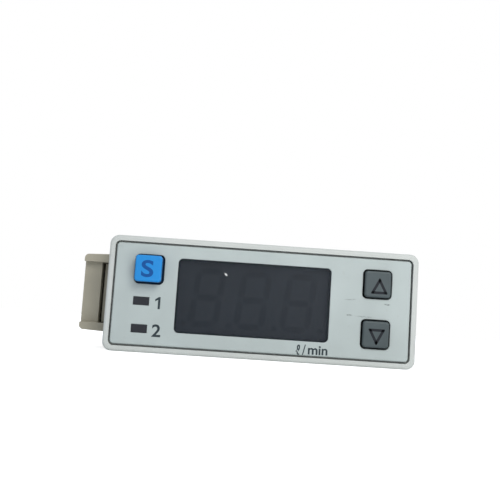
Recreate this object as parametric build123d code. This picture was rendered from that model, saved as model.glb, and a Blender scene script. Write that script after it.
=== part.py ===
from build123d import *
import os

# A slim digital flow switch display that mounts in a panel, in millimetres.
# The origin is the middle of the bezel's seating face, which lies on the panel.
# +X is to the right seen from the front, +Y runs back through the panel, +Z is up.

# Bezel rim and front plate
bezel_width = 62.0
bezel_height = 23.0
bezel_depth = 3.2
bezel_corner = 1.8
rim_width = 1.12
rim_edge = 0.6
plate_gap = 0.35
plate_recess = 0.1
plate_thickness = 1.6
plate_corner = 0.7
plate_edge = 0.3
opening_edge = 0.15

# Case tube and rear cover
bezel_side_lap = 3.3
bezel_top_lap = 1.4
body_corner = 1.0
body_length = 58.5
wall = 1.4
cover_thickness = 1.5
cover_edge = 0.5
fit_gap = 0.1

# Display window and digits
window_left_margin = 12.39
window_right_margin = 16.07
window_top_margin = 2.5
window_bottom_margin = 2.81
window_corner = 0.9
window_lip = 0.9
lip_thickness = 0.8
lens_gap = 0.04
digit_count = 3
digit_side_margin = 1.5
digit_top_margin = 1.38
digit_fill_ratio = 0.54
digit_slant = 6.5
segment_width = 1.3
segment_gap = 0.16
segment_depth = 3.0
point_size = 1.3
case_margin = 0.3
case_setback = 0.25

# Keys and their switches
key_side_margin = 3.83
key_end_margin = 2.13
key_spacing = 4.08
key_corner = 0.6
key_edge = 0.35
key_clearance = 0.33
set_key_proud = 2.5
arrow_key_proud = 0.8
collar_width = 0.35
collar_thickness = 0.7
collar_gap = 0.05
stem_radius = 1.6
switch_size = 5.2
switch_height = 3.5
switch_edge = 0.3
plunger_radius = 1.75
plunger_proud = 1.0
plunger_engaged = 1.5
switch_free = 0.5
running_gap = 0.05

# Indicator windows and lamps
indicator_inset = 0.14
indicator_key_gap = 2.6
indicator_floor_margin = 1.04
indicator_width = 3.17
indicator_height = 1.66
indicator_lip = 0.3
pipe_inset = 0.25
lamp_width = 3.0
lamp_height = 1.6
lamp_thickness = 1.2
lamp_gap = 0.2

# Circuit boards
front_board_y = 7.1
front_board_thickness = 1.2
main_board_thickness = 1.6
board_gap = 0.6
board_clearance = 0.3
solder_room = 0.5
guide_depth = 1.2
guide_thickness = 0.8
guide_setback = 4.0

# Posts and hooks of the front plate
post_radius = 1.1
peg_radius = 0.6
post_window_gap = 1.1
post_inset = 1.7
hook_width = 5.0
hook_thickness = 1.0
hook_barb = 0.75
hook_lead = 0.4
hook_nose = 1.6
plate_hook_x = 12.0
plate_hook_y = 3.6
cover_hook_x = 16.0
cover_hook_z = 2.5
cover_hook_length = 5.0
window_slack = 0.3

# Rails and ratchet teeth on the sides of the case
rail_setback = 12.5
rail_height = 1.5
rail_lip = 0.7
rail_lip_reach = 0.8
rail_stem = 1.0
rail_inner_z = 4.3
tooth_pitch = 1.0
tooth_height = 0.8
tooth_start = 3.0
tooth_half_width = 3.8

# Panel mount adapters
adapter_taper = 2.6
adapter_length = 24.0
adapter_straight = 10.0
adapter_half_height = 8.2
adapter_draft = 0.4
adapter_corner = 0.9
adapter_wall = 1.9
adapter_web = 3.2
adapter_slot = 0.5
adapter_bridge = 4.0
web_recess = 1.5
tongue_recess = 2.8
tongue_block = 3.0
tongue_depth = 3.9
tongue_thickness = 1.8
pawl_gap = 0.08
pawl_half_width = 3.5
grip_count = 4
grip_pitch = 1.6
grip_depth = 0.4
left_adapter_y = 4.0
right_adapter_y = 21.0

# Terminal header, plug, clamps and screws
pole_pitch = 5.08
header_side_room = 4.0
header_height = 8.6
header_length = 12.0
header_wall = 0.8
header_floor = 3.0
header_recess = 0.2
plug_fit = 0.15
pin_size = 1.0
pin_reach = 9.7
plug_depth = 11.8
plug_height = 15.0
plug_drop = 5.0
plug_chamfer = 2.8
plug_gap = 0.1
plug_groove = 0.4
cage_width = 4.0
cage_height = 5.6
cage_length = 6.5
cage_wall = 0.7
cage_setback = 1.7
entry_width = 3.9
entry_height = 4.4
screw_radius = 1.25
screw_tip = 1.0
head_radius = 1.9
head_thickness = 1.6
head_edge = 0.2
head_seat = 1.6
well_radius = 2.1
slot_width = 0.6
slot_depth = 0.8

# Parts on the main board
link_count = 10
link_pitch = 2.54
link_size = 2.54
link_pin = 0.64
link_height = 1.5
chip_size = 9.0
chip_thickness = 1.4
chip_lead_count = 8
chip_lead = 0.25
lead_reach = 1.0
lead_width = 0.4
chip_x = 8.0
chip_setback = 11.4
capacitor_radius = 4.0
capacitor_headroom = 3.3
capacitor_foot = 1.4
capacitor_groove = 0.4
capacitor_edge = 0.4
capacitor_margin = 10.3
capacitor_setback = 9.8
capacitor_pitch = 8.5
inductor_size = 10.0
inductor_height = 5.0
inductor_flange = 1.0
inductor_edge = 0.25
inductor_winding = 0.75
inductor_x = -4.5
inductor_setback = 10.0
driver_length = 5.0
driver_width = 4.0
driver_height = 1.6
driver_lead_count = 4
driver_lead = 0.2
driver_margin = 8.3
driver_setback = 8.8
driver_pitch = 7.5
regulator_width = 6.6
regulator_length = 6.1
regulator_height = 2.3
regulator_tab = 1.2
regulator_leg = 2.2
regulator_leg_width = 0.8
regulator_sheet = 0.5
regulator_x = 6.0
regulator_setback = 5.3

# Places that follow from the sizes above
body_width = bezel_width - 2 * bezel_side_lap
body_height = bezel_height - 2 * bezel_top_lap
inner_width = body_width - 2 * wall
inner_height = body_height - 2 * wall
plate_front = plate_recess - bezel_depth
plate_back = plate_front + plate_thickness
plate_width = bezel_width - 2 * rim_width - 2 * plate_gap
plate_height = bezel_height - 2 * rim_width - 2 * plate_gap
window_width = plate_width - window_left_margin - window_right_margin
window_height = plate_height - window_top_margin - window_bottom_margin
window_x = (window_left_margin - window_right_margin) / 2
window_z = (window_bottom_margin - window_top_margin) / 2
digit_pitch = (window_width - 2 * digit_side_margin) / digit_count
digit_width = digit_pitch * digit_fill_ratio
digit_height = window_height - 2 * digit_top_margin
key_hole = (plate_height - 2 * key_end_margin - key_spacing) / 2
key_size = key_hole - 2 * key_clearance
key_x = plate_width / 2 - key_side_margin - key_hole / 2
key_z = (key_spacing + key_hole) / 2
indicator_x = -key_x - key_hole / 2 + indicator_inset + indicator_width / 2
indicator_upper_z = key_z - (key_hole + indicator_height) / 2 - indicator_key_gap
indicator_lower_z = indicator_floor_margin + (indicator_height - inner_height) / 2
left_post_x = window_x - window_width / 2 - window_lip - post_window_gap - post_radius
right_post_x = window_x + window_width / 2 + window_lip + post_window_gap + post_radius
post_z = inner_height / 2 - post_inset
switch_front = front_board_y - switch_height
plunger_front = switch_front - plunger_proud
front_board_back = front_board_y + front_board_thickness
main_board_bottom = solder_room - inner_height / 2
main_board_top = main_board_bottom + main_board_thickness
main_board_front = front_board_back + board_gap
main_board_back = body_length - board_clearance
capacitor_height = inner_height / 2 - main_board_top - capacitor_headroom
capacitor_x = capacitor_margin - inner_width / 2
driver_x = inner_width / 2 - driver_margin
cover_back = body_length + cover_thickness
pole_count = int((inner_width - 2 * header_side_room) / pole_pitch)
header_width = pole_count * pole_pitch + 2 * header_wall + 2 * plug_fit
header_z = main_board_top + header_height / 2
header_back = cover_back - header_recess
header_front = header_back - header_length
header_floor_y = header_front + header_floor
plug_width = pole_count * pole_pitch
tongue_height = header_height - 2 * header_wall - 2 * plug_fit
plug_front = cover_back + plug_gap
plug_back = plug_front + plug_depth
plug_bottom = header_z - plug_drop
plug_top = plug_bottom + plug_height
cage_back = plug_back - cage_setback
cage_front = cage_back - cage_length
cage_top = header_z + cage_height / 2
screw_y = cage_back - cage_length / 2
head_bottom = cage_top + head_seat
side_x = body_width / 2
rail_x = side_x + rail_height
rail_end = body_length - rail_setback
adapter_opening = adapter_half_height - adapter_wall
tongue_x = rail_x + fit_gap + tongue_depth
web_x = tongue_x + adapter_slot
web_outer_x = web_x + adapter_web
adapter_reach = web_outer_x + adapter_corner / 3
KEYS = {
    "set": (-key_x, key_z, set_key_proud),
    "up": (key_x, key_z, arrow_key_proud),
    "down": (key_x, -key_z, arrow_key_proud),
}
INDICATORS = {
    "1": indicator_upper_z,
    "2": indicator_lower_z,
}
POSTS = [
    (left_post_x, indicator_upper_z),
    (left_post_x, -post_z),
    (right_post_x, post_z),
    (right_post_x, -post_z),
]


def front_plane(x, y, z):
    """A plane that faces the viewer, with its own y along +Z."""
    return Plane(origin=(x, y, z), x_dir=(1, 0, 0), z_dir=(0, -1, 0))


def tile(width, height, corner, front, back, x=0.0, z=0.0):
    """A rectangle with round corners, seen from the front, from y = front back to y = back."""
    outline = RectangleRounded(width, height, corner) if corner > 0 else Rectangle(width, height)
    return extrude(front_plane(x, front, z) * outline, amount=front - back)


def round_bar(radius, front, back, x=0.0, z=0.0):
    """A cylinder along Y."""
    return extrude(front_plane(x, front, z) * Circle(radius), amount=front - back)


def block(x_span, y_span, z_span):
    """A box given by its low and high ends along each axis."""
    spans = (x_span, y_span, z_span)
    middle = [(low + high) / 2 for low, high in spans]
    return Pos(*middle) * Box(*[high - low for low, high in spans])


def front_edges(part):
    """The outer edges of the face nearest the viewer."""
    return part.faces().sort_by(Axis.Y)[0].outer_wire().edges()


def opening_edges(part):
    """The edges of the holes in the face nearest the viewer."""
    return [edge for wire in part.faces().sort_by(Axis.Y)[0].inner_wires() for edge in wire.edges()]


def pole_places():
    """The x of each terminal."""
    middle = (pole_count - 1) / 2
    return [(index - middle) * pole_pitch for index in range(pole_count)]


def link_places():
    """The x of each pin between the boards."""
    middle = (link_count - 1) / 2
    return [(index - middle) * link_pitch for index in range(link_count)]


def hook_profile(length, barb_front):
    """Side view of a snap hook that points along +x, its outer face on y = 0, barb outwards."""
    return Polyline(
        (0, 0),
        (barb_front, 0),
        (barb_front, hook_barb),
        (length - hook_lead, 0.0),
        (length, -hook_lead),
        (length, -hook_thickness),
        (0, -hook_thickness),
        close=True,
    )


def plate_hooks():
    """Four hooks behind the front plate that snap into the top and bottom of the case."""
    barb_front = plate_hook_y + window_slack / 2 - plate_back
    length = barb_front + hook_nose
    side = Plane(origin=(0, plate_back, inner_height / 2 - fit_gap), x_dir=(0, 1, 0), z_dir=(1, 0, 0))
    upper = extrude(side * make_face(hook_profile(length, barb_front)), amount=hook_width / 2, both=True)
    hooks = []
    for x in (-plate_hook_x, plate_hook_x):
        hooks.append(Pos(x, 0, 0) * upper)
        hooks.append(Pos(x, 0, 0) * mirror(upper, about=Plane.XY))
    return hooks


def side_rail():
    """The right-hand rail: two lipped ribs with ratchet teeth between them."""
    stem = block((side_x, rail_x), (0, rail_end), (rail_inner_z, rail_inner_z + rail_stem))
    lip_top = rail_inner_z + rail_stem + rail_lip_reach
    lip = block((rail_x - rail_lip, rail_x), (0, rail_end), (rail_inner_z, lip_top))
    rib = stem + lip
    count = int((rail_end - tooth_start) / tooth_pitch)
    points = [(side_x, tooth_start)]
    for index in range(count):
        y = tooth_start + index * tooth_pitch
        points.append((side_x + tooth_height, y))
        points.append((side_x, y + tooth_pitch))
    points.append((side_x - wall / 2, tooth_start + count * tooth_pitch))
    points.append((side_x - wall / 2, tooth_start))
    teeth = extrude(make_face(Polyline(*points, close=True)), amount=tooth_half_width, both=True)
    return [rib, mirror(rib, about=Plane.XY), teeth]


def board_guides():
    """Ribs inside the right-hand wall that hold the edge of the main board."""
    x_span = (inner_width / 2 - guide_depth, inner_width / 2 + wall / 2)
    y_span = (main_board_front, body_length - guide_setback)
    low = main_board_bottom - fit_gap
    high = main_board_top + fit_gap
    return [
        block(x_span, y_span, (-inner_height / 2 - wall / 2, low)),
        block(x_span, y_span, (high, high + guide_thickness)),
    ]


def hook_windows():
    """The cuts that the snap hooks of the front plate and the rear cover catch in."""
    width = hook_width + 2 * window_slack
    reach = body_height / 2
    front_span = (plate_hook_y, plate_hook_y + hook_nose + window_slack)
    rear_span = cover_window_span()
    cuts = []
    for x in (-plate_hook_x, plate_hook_x):
        cuts.append(block((x - width / 2, x + width / 2), front_span, (-reach, reach)))
    for x in (-cover_hook_x, cover_hook_x):
        cuts.append(block((x - width / 2, x + width / 2), rear_span, (0, reach)))
    z_span = (cover_hook_z - width / 2, cover_hook_z + width / 2)
    cuts.append(block((-side_x, side_x), rear_span, z_span))
    return cuts


def cover_window_span():
    """Where along Y the rear cover's hooks catch in the case."""
    back = body_length - cover_hook_length + hook_nose
    return (back - hook_nose - window_slack, back)


def housing():
    """The moulded case: bezel rim, ledge, tube, side rails, board guides and hook windows."""
    flange = tile(bezel_width, bezel_height, bezel_corner, -bezel_depth, 0)
    flange = fillet(front_edges(flange), rim_edge)
    case = flange + tile(body_width, body_height, body_corner, 0, body_length)
    pocket_width = bezel_width - 2 * rim_width
    pocket_height = bezel_height - 2 * rim_width
    pocket_corner = plate_corner + plate_gap
    case -= tile(pocket_width, pocket_height, pocket_corner, -bezel_depth, plate_back)
    case -= tile(inner_width, inner_height, body_corner / 2, plate_back, body_length)
    for piece in side_rail() + board_guides():
        case += piece
        case += mirror(piece, about=Plane.YZ)
    for cut in hook_windows():
        case -= cut
    return case


def front_plate():
    """The face plate with its openings, seats, hooks and board posts."""
    plate = tile(plate_width, plate_height, plate_corner, plate_front, plate_back)
    plate = fillet(front_edges(plate), plate_edge)
    plate -= tile(window_width, window_height, window_corner, plate_front, plate_back, window_x, window_z)
    for x, z, _ in KEYS.values():
        plate -= tile(key_hole, key_hole, key_corner + key_clearance, plate_front, plate_back, x, z)
    for z in INDICATORS.values():
        plate -= tile(indicator_width, indicator_height, 0, plate_front, plate_back, indicator_x, z)
    plate = fillet(opening_edges(plate), opening_edge)
    seat = plate_back - lip_thickness - lens_gap
    lip = 2 * (window_lip + lens_gap)
    corner = window_corner + window_lip
    plate -= tile(window_width + lip, window_height + lip, corner, seat, plate_back, window_x, window_z)
    rim = 2 * (indicator_lip + lens_gap)
    for z in INDICATORS.values():
        plate -= tile(indicator_width + rim, indicator_height + rim, 0, seat, plate_back, indicator_x, z)
    for hook in plate_hooks():
        plate += hook
    for x, z in POSTS:
        plate += round_bar(post_radius, plate_back, front_board_y, x, z)
        plate += round_bar(peg_radius, plate_back, front_board_back + board_gap / 2, x, z)
    return plate


def display_window():
    """The smoked window, with a lip behind the plate."""
    width = window_width - 2 * lens_gap
    height = window_height - 2 * lens_gap
    lens = tile(width, height, window_corner, plate_front + plate_recess, plate_back, window_x, window_z)
    lip = 2 * window_lip
    size = (window_width + lip, window_height + lip, window_corner + window_lip)
    return lens + tile(*size, plate_back - lip_thickness, plate_back, window_x, window_z)


def indicator_lens(z):
    """A small smoked window with a lip behind the plate and a light pipe to its lamp."""
    width = indicator_width - 2 * lens_gap
    height = indicator_height - 2 * lens_gap
    lens = tile(width, height, 0, plate_front + plate_recess, plate_back, indicator_x, z)
    rim = 2 * indicator_lip
    lip_front = plate_back - lip_thickness
    lens += tile(indicator_width + rim, indicator_height + rim, 0, lip_front, plate_back, indicator_x, z)
    pipe_back = front_board_y - lamp_thickness - lamp_gap
    pipe = tile(width - 2 * pipe_inset, height - 2 * pipe_inset, 0, plate_back, pipe_back, indicator_x, z)
    return lens + pipe


def indicator_lamp(z):
    """A lamp on the front board behind an indicator window."""
    return tile(lamp_width, lamp_height, 0, front_board_y - lamp_thickness, front_board_y, indicator_x, z)


def key(x, z, proud):
    """A key cap with the collar that keeps it in, and the stem that presses its switch."""
    cap_front = plate_front - proud
    collar_front = plate_back + collar_gap
    cap = tile(key_size, key_size, key_corner, cap_front, collar_front, x, z)
    cap = fillet(front_edges(cap), key_edge)
    collar = key_hole + 2 * collar_width
    cap += tile(collar, collar, key_corner, collar_front, collar_front + collar_thickness, x, z)
    return cap + round_bar(stem_radius, collar_front, plunger_front, x, z)


def switch_body(x, z):
    """A push switch on the front board, with a bore for its plunger."""
    body = tile(switch_size, switch_size, 0, switch_front, front_board_y, x, z)
    body = chamfer(front_edges(body), switch_edge)
    bore_back = switch_front + plunger_engaged + switch_free
    return body - round_bar(plunger_radius + running_gap, switch_front, bore_back, x, z)


def switch_plunger(x, z):
    """The moving button of a push switch."""
    return round_bar(plunger_radius, plunger_front, switch_front + plunger_engaged, x, z)


def segment(length, width):
    """A digit's segment seen from the front, along x, with pointed ends."""
    half = length / 2
    tip = width / 2
    return Polygon(
        (-half, 0),
        (-half + tip, -tip),
        (half - tip, -tip),
        (half, 0),
        (half - tip, tip),
        (-half + tip, tip),
        align=None,
    )


def digit_faces(x):
    """The seven segments and the point of one digit that stands at x, leaning to the right."""
    slant = tan_of(digit_slant)
    half_height = digit_height / 2 - segment_width / 2
    half_width = digit_width / 2
    across = digit_width - 2 * segment_gap
    up = half_height - 2 * segment_gap
    faces = []
    for level in (-half_height, 0, half_height):
        faces.append(Pos(x + level * slant, level) * segment(across, segment_width))
    for side in (-half_width, half_width):
        for level in (-half_height / 2, half_height / 2):
            upright = Rot(0, 0, 90 - digit_slant) * segment(up, segment_width)
            faces.append(Pos(x + side + level * slant, level) * upright)
    faces.append(Pos(x + digit_pitch / 2, -half_height) * Circle(point_size / 2))
    return faces


def tan_of(degrees):
    """Tangent of an angle in degrees."""
    direction = Vector(1, 0, 0).rotate(Axis.Z, degrees)
    return direction.Y / direction.X


def segment_blocks(front, back):
    """All the digits' segments as blocks behind the window."""
    faces = []
    for index in range(digit_count):
        faces += digit_faces((index - (digit_count - 1) / 2) * digit_pitch)
    sign_x = -digit_count / 2 * digit_pitch
    faces.append(Pos(sign_x, segment_width / 2 - digit_height / 2) * Circle(point_size / 2))
    face_frame = front_plane(window_x, front, window_z)
    return [extrude(face_frame * face, amount=front - back) for face in faces]


def display_case():
    """The digit module's block, with a pocket for each segment."""
    front = plate_back + case_setback
    width = window_width - 2 * case_margin
    height = window_height - 2 * case_margin
    case = tile(width, height, 0, front, front_board_y, window_x, window_z)
    for pocket in segment_blocks(front, front + segment_depth):
        case -= pocket
    return case


def display_segments():
    """The light segments of the digits, each in its pocket."""
    front = plate_back + case_setback
    return segment_blocks(front, front + segment_depth)


def front_board():
    """The board behind the face, with holes for the plate's pegs and the link's pins."""
    width = inner_width - 2 * board_clearance
    height = inner_height - 2 * board_clearance
    board = tile(width, height, 0, front_board_y, front_board_back)
    for x, z in POSTS:
        board -= round_bar(peg_radius + fit_gap, front_board_y, front_board_back, x, z)
    hole = link_pin + 2 * fit_gap
    for x in link_places():
        board -= tile(hole, hole, 0, front_board_y, front_board_back, x, link_z())
    return board


def link_z():
    """The height of the level legs of the pins between the boards."""
    return main_board_top + link_height


def link_bend_y():
    """Where along Y the pins between the boards turn down."""
    return main_board_front + 2 * link_size


def main_board():
    """The main board, with holes for the pins of the link and of the terminal header."""
    width = inner_width - 2 * fit_gap
    board = block(
        (-width / 2, width / 2),
        (main_board_front, main_board_back),
        (main_board_bottom, main_board_top),
    )
    small = link_pin / 2 + fit_gap
    for x in link_places():
        y = link_bend_y()
        board -= block((x - small, x + small), (y - small, y + small), (main_board_bottom, main_board_top))
    large = pin_size / 2 + fit_gap
    for x in pole_places():
        y = header_pin_y()
        board -= block((x - large, x + large), (y - large, y + large), (main_board_bottom, main_board_top))
    return board


def link_pin_solid(x):
    """One bent pin between the boards."""
    half = link_pin / 2
    z = link_z()
    bend = link_bend_y()
    level = block((x - half, x + half), (front_board_y, bend + half), (z - half, z + half))
    foot = main_board_bottom - solder_room + fit_gap
    return level + block((x - half, x + half), (bend - half, bend + half), (foot, z + half))


def board_link():
    """The plastic strip that holds the pins between the boards."""
    half = link_count * link_pitch / 2
    y = main_board_front + board_gap
    strip = block((-half, half), (y, y + link_size), (main_board_top, main_board_top + link_size))
    for x in link_places():
        strip -= link_pin_solid(x)
    return strip


def link_pins():
    """The bent pins between the boards."""
    return [link_pin_solid(x) for x in link_places()]


def lead_row(count, pitch, half, reach, width):
    """Leads along x on both long sides of a chip, as (x span, y span) pairs about its middle."""
    spans = []
    for index in range(count):
        middle = (index - (count - 1) / 2) * pitch
        for side in (-1, 1):
            near, far = sorted((side * half, side * (half + reach)))
            spans.append(((middle - width / 2, middle + width / 2), (near, far)))
    return spans


def processor_chip():
    """The square controller chip with leads on its four sides."""
    pitch = chip_size / (chip_lead_count + 1)
    body = Pos(0, 0, (chip_thickness + chip_lead) / 2) * Box(chip_size, chip_size, chip_thickness - chip_lead)
    body = chamfer(body.faces().sort_by(Axis.Z)[-1].edges(), chip_lead)
    for across, along in lead_row(chip_lead_count, pitch, chip_size / 2, lead_reach, lead_width):
        body += block(across, along, (0, 2 * chip_lead))
        body += block(along, across, (0, 2 * chip_lead))
    return Pos(chip_x, main_board_front + chip_setback, main_board_top) * body


def capacitor():
    """An upright can with the rolled groove near its foot."""
    groove_z = capacitor_foot + capacitor_groove
    profile = Polyline(
        (0, 0),
        (capacitor_radius, 0),
        (capacitor_radius, capacitor_foot),
        (capacitor_radius - capacitor_groove, groove_z),
        (capacitor_radius, groove_z + capacitor_groove),
        (capacitor_radius, capacitor_height - capacitor_edge),
        (capacitor_radius - capacitor_edge, capacitor_height),
        (0, capacitor_height),
        close=True,
    )
    return revolve(Plane.XZ * make_face(profile), Axis.Z)


def filter_capacitors():
    """The two supply capacitors."""
    can = capacitor()
    first = main_board_front + capacitor_setback
    return [Pos(capacitor_x, y, main_board_top) * can for y in (first, first + capacitor_pitch)]


def power_inductor():
    """A wound drum on a square base."""
    drum = inductor_size / 2 - inductor_edge
    core = Pos(0, 0, inductor_flange / 2) * Box(inductor_size, inductor_size, inductor_flange)
    core += Pos(0, 0, inductor_height / 2) * Cylinder(drum - inductor_winding, inductor_height)
    core += Pos(0, 0, inductor_height - inductor_flange / 2) * Cylinder(drum, inductor_flange)
    return Pos(inductor_x, header_pin_y() - inductor_setback, main_board_top) * core


def driver_chip():
    """A small output chip with four leads a side."""
    pitch = driver_length / driver_lead_count
    thickness = driver_height - driver_lead
    body = Pos(0, 0, (driver_height + driver_lead) / 2) * Box(driver_length, driver_width, thickness)
    for across, along in lead_row(driver_lead_count, pitch, driver_width / 2, lead_reach, lead_width):
        body += block(across, along, (0, 2 * driver_lead))
    return body


def output_drivers():
    """The two output chips."""
    last = header_pin_y() - driver_setback
    return [Pos(driver_x, y, main_board_top) * driver_chip() for y in (last, last - driver_pitch)]


def voltage_regulator():
    """The supply regulator with its cooling tab and three legs."""
    sheet = (0, regulator_sheet)
    back = regulator_length / 2
    half_tab = regulator_width / 2 - regulator_sheet
    body = Pos(0, 0, regulator_height / 2) * Box(regulator_width, regulator_length, regulator_height)
    body += block((-half_tab, half_tab), (back, back + regulator_tab), sheet)
    for x in (-regulator_width / 3, regulator_width / 3):
        x_span = (x - regulator_leg_width / 2, x + regulator_leg_width / 2)
        body += block(x_span, (-back - regulator_leg, -back), sheet)
    return Pos(regulator_x, header_pin_y() - regulator_setback, main_board_top) * body


def header_pin_y():
    """Where along Y the header's pins turn down into the main board."""
    return header_front - pin_size


def header_pin_solid(x):
    """One bent pin of the terminal header."""
    half = pin_size / 2
    bend = header_pin_y()
    level = block(
        (x - half, x + half),
        (bend - half, header_front + pin_reach),
        (header_z - half, header_z + half),
    )
    foot = main_board_bottom - solder_room + fit_gap
    return level + block((x - half, x + half), (bend - half, bend + half), (foot, header_z + half))


def terminal_header():
    """The shroud on the main board that the terminal plug pushes into."""
    shroud = tile(header_width, header_height, 0, header_front, header_back, 0, header_z)
    inside = header_width - 2 * header_wall
    shroud -= tile(inside, header_height - 2 * header_wall, 0, header_floor_y, header_back, 0, header_z)
    for x in pole_places():
        shroud -= tile(pin_size, pin_size, 0, header_front, header_floor_y, x, header_z)
    return shroud


def header_pins():
    """The header's bent pins."""
    return [header_pin_solid(x) for x in pole_places()]


def plug_profile():
    """Side view of the plug, y along the page and z up, with a sloped upper rear edge."""
    tongue_front = header_floor_y + 2 * plug_fit
    low = header_z - tongue_height / 2
    high = header_z + tongue_height / 2
    return Polyline(
        (tongue_front, low),
        (plug_front, low),
        (plug_front, plug_bottom),
        (plug_back, plug_bottom),
        (plug_back, plug_top - plug_chamfer),
        (plug_back - plug_chamfer, plug_top),
        (plug_front, plug_top),
        (plug_front, high),
        (tongue_front, high),
        close=True,
    )


def wire_entry(x):
    """The funnel that leads a wire into its clamp."""
    outer = front_plane(x, plug_back, header_z) * Rectangle(entry_width, entry_height)
    inner_size = (cage_width - 2 * cage_wall, cage_height - 2 * cage_wall)
    inner = front_plane(x, cage_back, header_z) * Rectangle(*inner_size)
    return loft([outer, inner])


def clamp_cage(x):
    """A metal cage with a threaded top wall."""
    cage = tile(cage_width, cage_height, 0, cage_front, cage_back, x, header_z)
    inside = (cage_width - 2 * cage_wall, cage_height - 2 * cage_wall)
    cage -= tile(*inside, 0, cage_front, cage_back, x, header_z)
    thread = Pos(x, screw_y, cage_top - cage_wall / 2) * Cylinder(screw_radius + running_gap, cage_wall)
    return cage - thread


def terminal_plug():
    """The plug: a clamp chamber, wire funnel, screw well and pin socket for each wire."""
    side = Plane(origin=(0, 0, 0), x_dir=(0, 1, 0), z_dir=(1, 0, 0))
    plug = extrude(side * make_face(plug_profile()), amount=plug_width / 2, both=True)
    chamber = (cage_width + 2 * running_gap, cage_height + 2 * running_gap)
    socket = pin_size + 2 * plug_fit
    tongue_front = header_floor_y + 2 * plug_fit
    well_depth = plug_top - head_bottom
    hole_depth = head_bottom - cage_top
    for x in pole_places():
        plug -= tile(*chamber, 0, cage_front, cage_back, x, header_z)
        plug -= wire_entry(x)
        plug -= tile(socket, socket, 0, tongue_front, cage_front, x, header_z)
        plug -= Pos(x, screw_y, plug_top - well_depth / 2) * Cylinder(well_radius, well_depth)
        hole = Cylinder(screw_radius + running_gap, hole_depth + 2 * running_gap)
        plug -= Pos(x, screw_y, head_bottom - hole_depth / 2) * hole
    for x in pole_places()[1:]:
        edge = x - pole_pitch / 2
        x_span = (edge - plug_groove / 2, edge + plug_groove / 2)
        plug -= block(x_span, (plug_back - plug_groove, plug_back), (plug_bottom, plug_top))
        plug -= block(x_span, (plug_front, plug_back), (plug_top - plug_groove, plug_top))
    return plug


def terminal_screw(x):
    """A slotted clamp screw, its head in the plug's well."""
    tip = cage_top - cage_wall - screw_tip
    shank = Pos(x, screw_y, (tip + head_bottom) / 2) * Cylinder(screw_radius, head_bottom - tip)
    head = Pos(x, screw_y, head_bottom + head_thickness / 2) * Cylinder(head_radius, head_thickness)
    head = chamfer(head.edges().group_by(Axis.Z)[-1], head_edge)
    slot_z = head_bottom + head_thickness - slot_depth
    slot = block(
        (x - slot_width / 2, x + slot_width / 2),
        (screw_y - head_radius, screw_y + head_radius),
        (slot_z, slot_z + slot_depth),
    )
    return shank + head - slot


def cover_hook(length):
    """A rear cover hook in side view, extruded, that points to -Y with its outer face on z = 0."""
    barb_front = cover_hook_length - hook_nose + window_slack / 2
    side = Plane(origin=(0, 0, 0), x_dir=(0, -1, 0), z_dir=(-1, 0, 0))
    profile = make_face(hook_profile(length, barb_front))
    return extrude(side * profile, amount=hook_width / 2, both=True)


def rear_cover():
    """The plate that closes the tube, with four snap hooks and a window for the header."""
    cover = tile(body_width, body_height, body_corner, body_length, cover_back)
    cover = fillet(cover.faces().sort_by(Axis.Y)[-1].outer_wire().edges(), cover_edge)
    hook = cover_hook(cover_hook_length)
    upper = Pos(0, body_length, inner_height / 2 - fit_gap) * hook
    for x in (-cover_hook_x, cover_hook_x):
        cover += Pos(x, 0, 0) * upper
    beside = Pos(inner_width / 2 - fit_gap, body_length, cover_hook_z) * Rot(0, 90, 0) * hook
    cover += beside
    cover += mirror(beside, about=Plane.YZ)
    gap = 2 * fit_gap
    cover -= tile(header_width + gap, header_height + gap, 0, body_length, cover_back, 0, header_z)
    return cover


def adapter_block(front):
    """The adapter's outer form on the right side, narrower at the rear and drafted outwards."""
    inner_x = side_x + fit_gap
    back = front + adapter_length
    plan = Polyline(
        (inner_x, front),
        (adapter_reach, front),
        (adapter_reach, front + adapter_straight),
        (adapter_reach - adapter_taper, back),
        (inner_x, back),
        close=True,
    )
    body = extrude(make_face(plan), amount=adapter_half_height, both=True)
    tip = adapter_half_height - adapter_draft
    wedge = Polyline(
        (inner_x, adapter_half_height),
        (adapter_reach, tip),
        (adapter_reach, adapter_half_height + adapter_draft),
        (inner_x, adapter_half_height + adapter_draft),
        close=True,
    )
    cut = extrude(front_plane(0, front, 0) * make_face(wedge), amount=-adapter_length)
    body = body - cut - mirror(cut, about=Plane.XY)
    corners = body.edges().filter_by(Axis.Y).group_by(Axis.X)[-1]
    return fillet(corners, adapter_corner)


def adapter_tongue(front):
    """The sprung tongue with its pawl, joined to the adapter at the rear."""
    near = rail_x + fit_gap
    half = adapter_opening - 2 * fit_gap
    block_front = front + tongue_recess
    bridge = front + adapter_length - adapter_bridge
    tongue = block((near, tongue_x), (block_front, block_front + tongue_block), (-half, half))
    tongue += block((tongue_x - tongue_thickness, tongue_x), (block_front, bridge), (-half, half))
    tip = side_x + tooth_height + pawl_gap
    pawl = Polyline(
        (near, block_front),
        (near, block_front + tongue_block),
        (tip, block_front + tongue_block),
        close=True,
    )
    return tongue + extrude(make_face(pawl), amount=pawl_half_width, both=True)


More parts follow.
